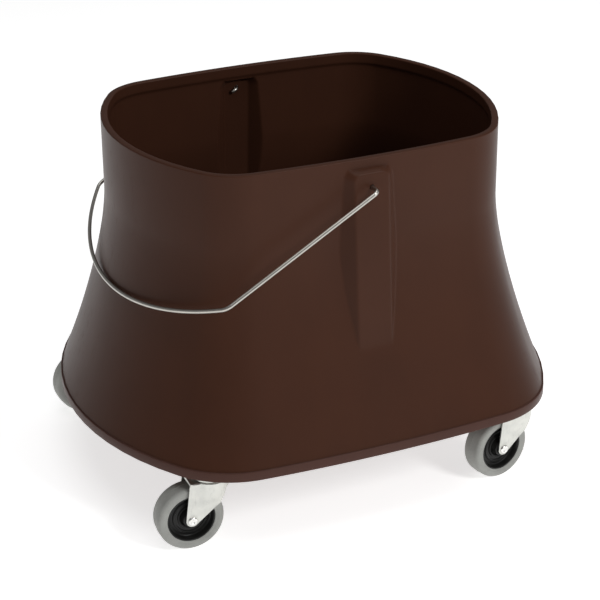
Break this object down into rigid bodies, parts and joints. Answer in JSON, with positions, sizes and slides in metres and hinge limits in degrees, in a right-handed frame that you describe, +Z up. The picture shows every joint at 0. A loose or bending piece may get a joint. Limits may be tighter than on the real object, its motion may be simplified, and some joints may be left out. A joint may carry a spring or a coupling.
{
  "type": "wheeled wash bucket",
  "caption": "Flared plastic wash bucket with a wire bail handle, on swivel casters with grey tyres.",
  "frame": {"origin": "on the floor, under the middle of the tub", "axes": "+X along the long side, away from the end where the bail is parked; +Y across the tub; +Z up"},
  "size_m": [0.594, 0.495, 0.438],
  "materials": {
    "brown_plastic": "satin moulded, dark chocolate brown",
    "pan_plastic": "satin moulded, dark chocolate brown",
    "bail_wire": "bright drawn wire",
    "zinc_plate": "pressed and bright zinc plated",
    "bright_steel": "turned and plated",
    "pressed_steel": "pressed, dull",
    "spring_steel": "spring wire",
    "ball_steel": "polished",
    "hub_plastic": "black moulded",
    "grey_tyre": "non-marking grey rubber"
  },
  "bodies": {
    "bucket": {"bell_shell": "brown_plastic", "base_pan": "pan_plastic", "front_left_stem_socket": "pressed_steel", "front_left_stem": "bright_steel", "front_left_grip_ring": "spring_steel", "front_left_top_race": "zinc_plate", "front_left_lower_race": "zinc_plate", "front_right_stem_socket": "pressed_steel", "front_right_stem": "bright_steel", "front_right_grip_ring": "spring_steel", "front_right_top_race": "zinc_plate", "front_right_lower_race": "zinc_plate", "back_left_stem_socket": "pressed_steel", "back_left_stem": "bright_steel", "back_left_grip_ring": "spring_steel", "back_left_top_race": "zinc_plate", "back_left_lower_race": "zinc_plate", "back_right_stem_socket": "pressed_steel", "back_right_stem": "bright_steel", "back_right_grip_ring": "spring_steel", "back_right_top_race": "zinc_plate", "back_right_lower_race": "zinc_plate"},
    "bail": {"bail_handle": "bail_wire"},
    "front_left_swivel": {"front_left_fork": "zinc_plate", "front_left_axle_bolt": "bright_steel", "front_left_axle_nut": "bright_steel", "front_left_bushing": "pressed_steel"},
    "front_left_wheel": {"front_left_hub": "hub_plastic", "front_left_tyre": "grey_tyre"},
    "front_left_ball_race": {"front_left_balls": "ball_steel"},
    "front_right_swivel": {"front_right_fork": "zinc_plate", "front_right_axle_bolt": "bright_steel", "front_right_axle_nut": "bright_steel", "front_right_bushing": "pressed_steel"},
    "front_right_wheel": {"front_right_hub": "hub_plastic", "front_right_tyre": "grey_tyre"},
    "front_right_ball_race": {"front_right_balls": "ball_steel"},
    "back_left_swivel": {"back_left_fork": "zinc_plate", "back_left_axle_bolt": "bright_steel", "back_left_axle_nut": "bright_steel", "back_left_bushing": "pressed_steel"},
    "back_left_wheel": {"back_left_hub": "hub_plastic", "back_left_tyre": "grey_tyre"},
    "back_left_ball_race": {"back_left_balls": "ball_steel"},
    "back_right_swivel": {"back_right_fork": "zinc_plate", "back_right_axle_bolt": "bright_steel", "back_right_axle_nut": "bright_steel", "back_right_bushing": "pressed_steel"},
    "back_right_wheel": {"back_right_hub": "hub_plastic", "back_right_tyre": "grey_tyre"},
    "back_right_ball_race": {"back_right_balls": "ball_steel"}
  },
  "joints": [
    {"name": "bail_hinge", "type": "hinge", "parent": "bucket", "child": "bail", "pos_m": [0, 0, 0.407], "axis": [0, 1, 0], "range_deg": [0, 240]},
    {"name": "front_left_swivel_turn", "type": "hinge", "parent": "bucket", "child": "front_left_swivel", "pos_m": [-0.2, -0.1885, 0.0892], "axis": [0, 0, 1], "continuous": true},
    {"name": "front_left_wheel_spin", "type": "hinge", "parent": "front_left_swivel", "child": "front_left_wheel", "pos_m": [-0.22693, -0.18662, 0.04], "axis": [0.0698, 0.9976, 0], "continuous": true},
    {"name": "front_left_ball_roll", "type": "hinge", "parent": "bucket", "child": "front_left_ball_race", "pos_m": [-0.2, -0.1885, 0.0892], "axis": [0, 0, 1], "continuous": true},
    {"name": "front_right_swivel_turn", "type": "hinge", "parent": "bucket", "child": "front_right_swivel", "pos_m": [0.2, -0.1885, 0.0892], "axis": [0, 0, 1], "continuous": true},
    {"name": "front_right_wheel_spin", "type": "hinge", "parent": "front_right_swivel", "child": "front_right_wheel", "pos_m": [0.17341, -0.19319, 0.04], "axis": [-0.1736, 0.9848, 0], "continuous": true},
    {"name": "front_right_ball_roll", "type": "hinge", "parent": "bucket", "child": "front_right_ball_race", "pos_m": [0.2, -0.1885, 0.0892], "axis": [0, 0, 1], "continuous": true},
    {"name": "back_left_swivel_turn", "type": "hinge", "parent": "bucket", "child": "back_left_swivel", "pos_m": [-0.2, 0.1885, 0.0892], "axis": [0, 0, 1], "continuous": true},
    {"name": "back_left_wheel_spin", "type": "hinge", "parent": "back_left_swivel", "child": "back_left_wheel", "pos_m": [-0.22696, 0.18709, 0.04], "axis": [-0.0523, 0.9986, 0], "continuous": true},
    {"name": "back_left_ball_roll", "type": "hinge", "parent": "bucket", "child": "back_left_ball_race", "pos_m": [-0.2, 0.1885, 0.0892], "axis": [0, 0, 1], "continuous": true},
    {"name": "back_right_swivel_turn", "type": "hinge", "parent": "bucket", "child": "back_right_swivel", "pos_m": [0.2, 0.1885, 0.0892], "axis": [0, 0, 1], "continuous": true},
    {"name": "back_right_wheel_spin", "type": "hinge", "parent": "back_right_swivel", "child": "back_right_wheel", "pos_m": [0.173, 0.18897, 0.04], "axis": [0.0175, 0.9998, 0], "continuous": true},
    {"name": "back_right_ball_roll", "type": "hinge", "parent": "bucket", "child": "back_right_ball_race", "pos_m": [0.2, 0.1885, 0.0892], "axis": [0, 0, 1], "continuous": true}
  ],
  "couplings": [
    {"joint": "front_left_ball_roll", "follows": "front_left_swivel_turn", "ratio": 0.5},
    {"joint": "front_right_ball_roll", "follows": "front_right_swivel_turn", "ratio": 0.5},
    {"joint": "back_left_ball_roll", "follows": "back_left_swivel_turn", "ratio": 0.5},
    {"joint": "back_right_ball_roll", "follows": "back_right_swivel_turn", "ratio": 0.5}
  ]
}
